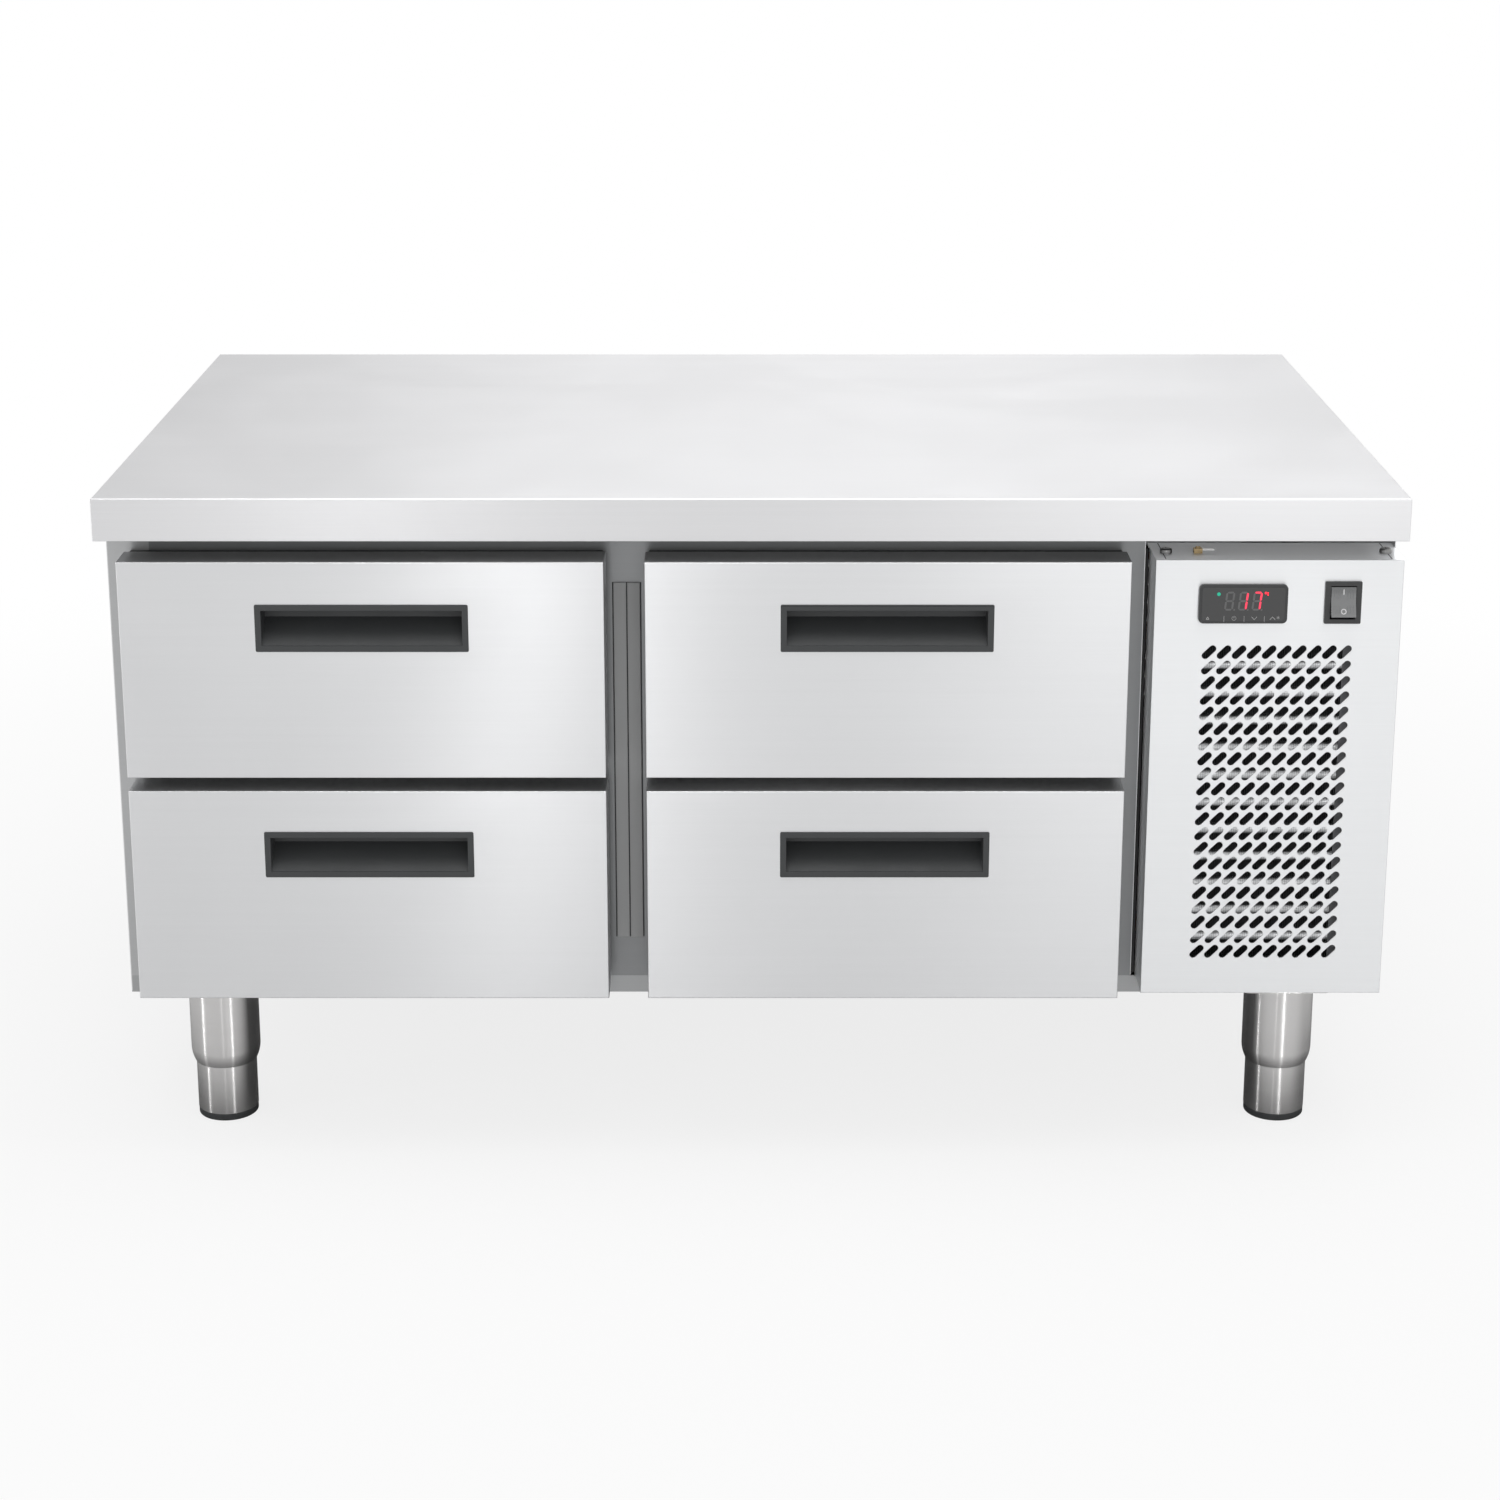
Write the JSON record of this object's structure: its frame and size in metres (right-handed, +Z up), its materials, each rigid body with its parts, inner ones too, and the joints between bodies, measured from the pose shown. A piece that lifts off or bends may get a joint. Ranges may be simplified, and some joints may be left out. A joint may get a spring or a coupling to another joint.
{
  "type": "refrigerated chef base",
  "caption": "Low refrigerated counter with stacked cold drawers on telescopic slides, a flat steel worktop, a slotted machine panel and adjustable round legs.",
  "frame": {"origin": "on the floor, under the middle of the worktop", "axes": "+X to the right as seen from the front, -Y is the front, +Z up"},
  "size_m": [1.2, 0.7, 0.65],
  "materials": {
    "worktop_steel": "fine satin, brushed along the length",
    "front_steel": "fine satin, brushed crosswise",
    "body_steel": "satin sheet",
    "frame_steel": "satin sheet",
    "liner_steel": "bright sheet",
    "slide_steel": "bright sheet",
    "tray_steel": "zinc-coated sheet",
    "leg_steel": "turned, brushed around",
    "screw_steel": "plain",
    "board": "pressed board",
    "foam": "rigid foam",
    "gasket_rubber": "matte",
    "handle_plastic": "fine grain",
    "cover_plastic": "satin",
    "controller_plastic": "satin",
    "window_plastic": "smooth, smoked",
    "switch_plastic": "satin",
    "rocker_plastic": "smoked, clear over grey",
    "coil_aluminium": "bare fins",
    "compressor_paint": "black enamel",
    "motor_paint": "grey enamel",
    "copper": "drawn copper",
    "fan_plastic": "moulded",
    "gland_plastic": "moulded"
  },
  "bodies": {
    "root": {"worktop_skin": "worktop_steel", "worktop_board": "board", "outer_casing": "body_steel", "base_panel": "body_steel", "insulation": "foam", "inner_liner": "liner_steel", "front_frame": "frame_steel", "mullion_cover": "cover_plastic", "centre_posts": "slide_steel", "slide_outer_rails": "slide_steel", "evaporator_coil": "coil_aluminium", "evaporator_housing": "liner_steel", "evaporator_fan_frame": "fan_plastic", "unit_tray": "tray_steel", "condenser_coil": "coil_aluminium", "condenser_shroud": "tray_steel", "condenser_fan_motor": "motor_paint", "compressor": "compressor_paint", "refrigerant_pipes": "copper", "filter_drier": "copper", "control_panel": "front_steel", "panel_screws": "screw_steel", "technical_side_panel": "body_steel", "technical_back_panel": "body_steel", "cable_gland": "gland_plastic", "controller_case": "controller_plastic", "controller_window": "window_plastic", "switch_housing": "switch_plastic", "leg_tubes": "leg_steel"},
    "drawer_lower_left": {"drawer_front_lower_left": "front_steel", "drawer_foam_lower_left": "foam", "drawer_gasket_lower_left": "gasket_rubber", "drawer_handle_lower_left": "handle_plastic", "drawer_tray_lower_left": "slide_steel"},
    "slide_lower_left": {"slide_middle_lower_left": "slide_steel"},
    "drawer_lower_right": {"drawer_front_lower_right": "front_steel", "drawer_foam_lower_right": "foam", "drawer_gasket_lower_right": "gasket_rubber", "drawer_handle_lower_right": "handle_plastic", "drawer_tray_lower_right": "slide_steel"},
    "slide_lower_right": {"slide_middle_lower_right": "slide_steel"},
    "drawer_upper_left": {"drawer_front_upper_left": "front_steel", "drawer_foam_upper_left": "foam", "drawer_gasket_upper_left": "gasket_rubber", "drawer_handle_upper_left": "handle_plastic", "drawer_tray_upper_left": "slide_steel"},
    "slide_upper_left": {"slide_middle_upper_left": "slide_steel"},
    "drawer_upper_right": {"drawer_front_upper_right": "front_steel", "drawer_foam_upper_right": "foam", "drawer_gasket_upper_right": "gasket_rubber", "drawer_handle_upper_right": "handle_plastic", "drawer_tray_upper_right": "slide_steel"},
    "slide_upper_right": {"slide_middle_upper_right": "slide_steel"},
    "condenser_fan": {"condenser_fan": "fan_plastic"},
    "evaporator_fan": {"evaporator_fan": "fan_plastic"},
    "switch_rocker": {"switch_rocker": "rocker_plastic"},
    "foot_front_left": {"foot_front_left": "leg_steel"},
    "foot_front_right": {"foot_front_right": "leg_steel"},
    "foot_rear_left": {"foot_rear_left": "leg_steel"},
    "foot_rear_right": {"foot_rear_right": "leg_steel"}
  },
  "joints": [
    {"name": "drawer_lower_left_slide", "type": "slide", "parent": "root", "child": "drawer_lower_left", "axis": [0, -1, 0], "range_m": [0, 0.5]},
    {"name": "middle_lower_left_slide", "type": "slide", "parent": "root", "child": "slide_lower_left", "axis": [0, -1, 0], "range_m": [0, 0.25]},
    {"name": "drawer_lower_right_slide", "type": "slide", "parent": "root", "child": "drawer_lower_right", "axis": [0, -1, 0], "range_m": [0, 0.5]},
    {"name": "middle_lower_right_slide", "type": "slide", "parent": "root", "child": "slide_lower_right", "axis": [0, -1, 0], "range_m": [0, 0.25]},
    {"name": "drawer_upper_left_slide", "type": "slide", "parent": "root", "child": "drawer_upper_left", "axis": [0, -1, 0], "range_m": [0, 0.5]},
    {"name": "middle_upper_left_slide", "type": "slide", "parent": "root", "child": "slide_upper_left", "axis": [0, -1, 0], "range_m": [0, 0.25]},
    {"name": "drawer_upper_right_slide", "type": "slide", "parent": "root", "child": "drawer_upper_right", "axis": [0, -1, 0], "range_m": [0, 0.5]},
    {"name": "middle_upper_right_slide", "type": "slide", "parent": "root", "child": "slide_upper_right", "axis": [0, -1, 0], "range_m": [0, 0.25]},
    {"name": "condenser_fan_spin", "type": "hinge", "parent": "root", "child": "condenser_fan", "pos_m": [0.48, -0.229, 0.3475], "axis": [0, 1, 0], "continuous": true},
    {"name": "evaporator_fan_spin", "type": "hinge", "parent": "root", "child": "evaporator_fan", "pos_m": [-0.11625, 0.254, 0.451], "axis": [0, 1, 0], "continuous": true},
    {"name": "power_switch_rock", "type": "hinge", "parent": "root", "child": "switch_rocker", "pos_m": [0.54415, -0.3374, 0.5494], "axis": [1, 0, 0], "range_deg": [0, 24]},
    {"name": "foot_front_left_adjust", "type": "slide", "parent": "root", "child": "foot_front_left", "axis": [0, 0, 1], "range_m": [0, 0.04]},
    {"name": "foot_front_right_adjust", "type": "slide", "parent": "root", "child": "foot_front_right", "axis": [0, 0, 1], "range_m": [0, 0.04]},
    {"name": "foot_rear_left_adjust", "type": "slide", "parent": "root", "child": "foot_rear_left", "axis": [0, 0, 1], "range_m": [0, 0.04]},
    {"name": "foot_rear_right_adjust", "type": "slide", "parent": "root", "child": "foot_rear_right", "axis": [0, 0, 1], "range_m": [0, 0.04]}
  ],
  "couplings": [
    {"joint": "middle_lower_left_slide", "follows": "drawer_lower_left_slide", "ratio": 0.5},
    {"joint": "middle_lower_right_slide", "follows": "drawer_lower_right_slide", "ratio": 0.5},
    {"joint": "middle_upper_left_slide", "follows": "drawer_upper_left_slide", "ratio": 0.5},
    {"joint": "middle_upper_right_slide", "follows": "drawer_upper_right_slide", "ratio": 0.5}
  ]
}
